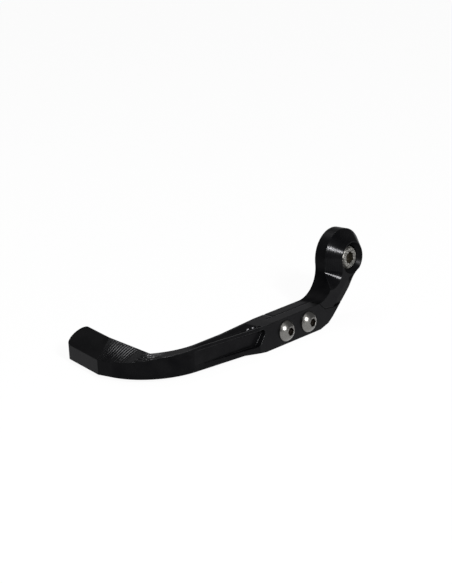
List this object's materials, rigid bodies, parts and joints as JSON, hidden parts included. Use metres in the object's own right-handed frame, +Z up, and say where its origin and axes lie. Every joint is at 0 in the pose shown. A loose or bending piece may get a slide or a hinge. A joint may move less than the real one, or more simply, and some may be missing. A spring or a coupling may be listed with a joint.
{
  "type": "brake lever guard",
  "caption": "Milled brake lever guard for a handlebar end: a bevelled eye bracket carries a bolted arm with a shallow groove and an inward hooked tip that shields the lever.",
  "frame": {"origin": "on the bar-end bolt's axis, in the plane of the eye's face that seats on the bar end", "axes": "+X outboard along the bolt, -Y forward along the arm, +Z up"},
  "size_m": [0.0689, 0.14, 0.04],
  "materials": {
    "black_anodised": "black anodised over fine milling marks",
    "stainless": "bright stainless fasteners"
  },
  "bodies": {
    "root": {"bracket": "black_anodised", "guard_arm": "black_anodised", "joint_screws": "stainless", "bar_end_bolt": "stainless"}
  },
  "joints": []
}
